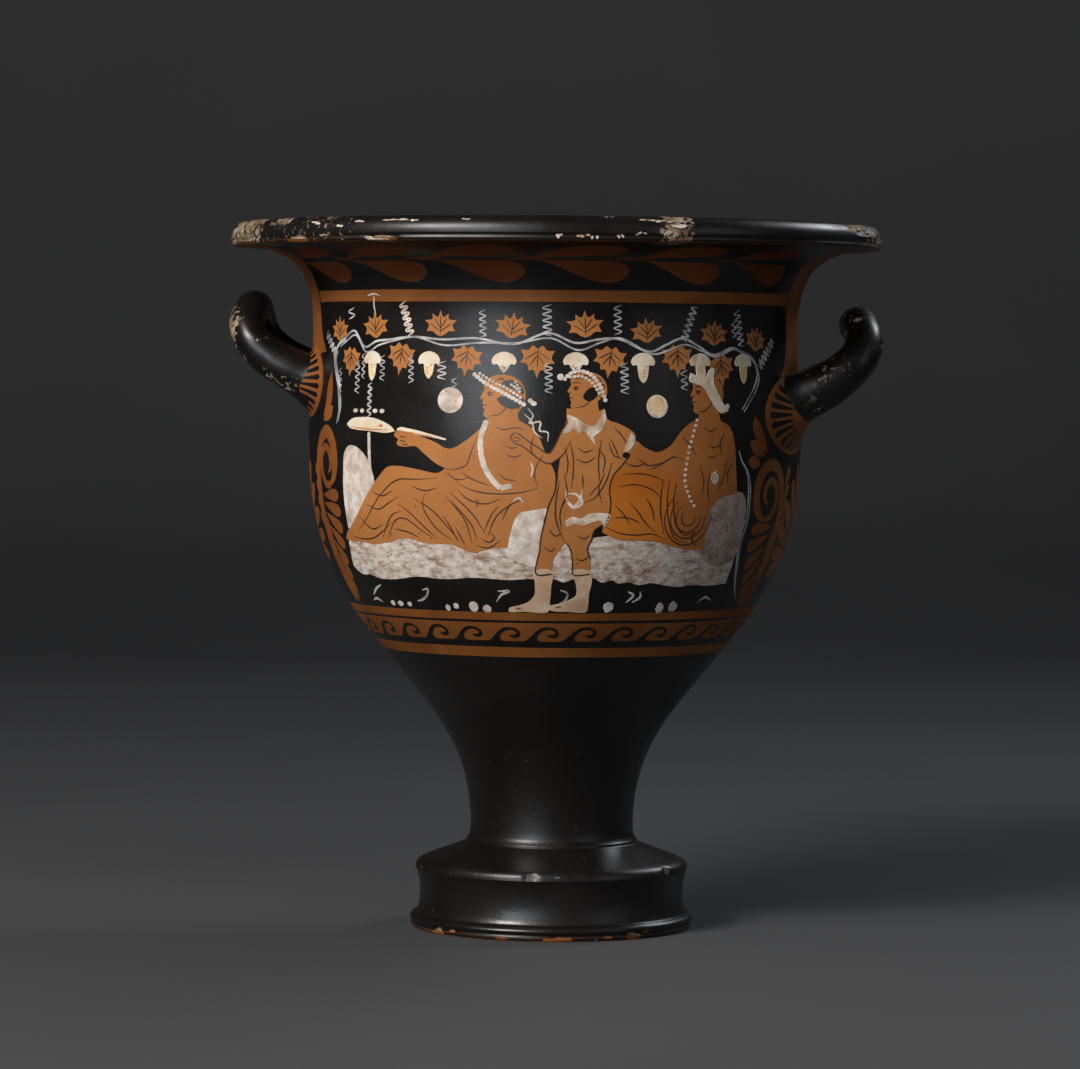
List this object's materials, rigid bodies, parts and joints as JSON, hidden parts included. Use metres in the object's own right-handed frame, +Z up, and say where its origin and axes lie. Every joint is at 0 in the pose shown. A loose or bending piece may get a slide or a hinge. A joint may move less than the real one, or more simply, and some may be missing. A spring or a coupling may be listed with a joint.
{
  "type": "greek bell krater",
  "caption": "Footed bell-shaped mixing vase of fired clay, hollow, with a flared lip, two upturned loop handles, a waisted stem and a moulded disc foot, painted in red figure.",
  "frame": {"origin": "centre of the standing ring on the foot's underside", "axes": "+Z up along the axis of the bowl, -Y out of the picture side, and +X towards the right handle as the picture is seen"},
  "size_m": [0.3706, 0.3698, 0.4],
  "materials": {
    "black_gloss": "black gloss slip on fired clay, semi-glossy, rubbed and chipped at the edges",
    "reserved_clay": "orange clay left bare for the figures and ornament, satin",
    "added_white": "chalky white slip laid over the gloss, speckled and flaking",
    "added_yellow": "thin yellow wash over white slip",
    "painted_line": "drawn lines of black and thinned brown gloss"
  },
  "bodies": {
    "root": {"krater": "black_gloss"}
  },
  "joints": []
}
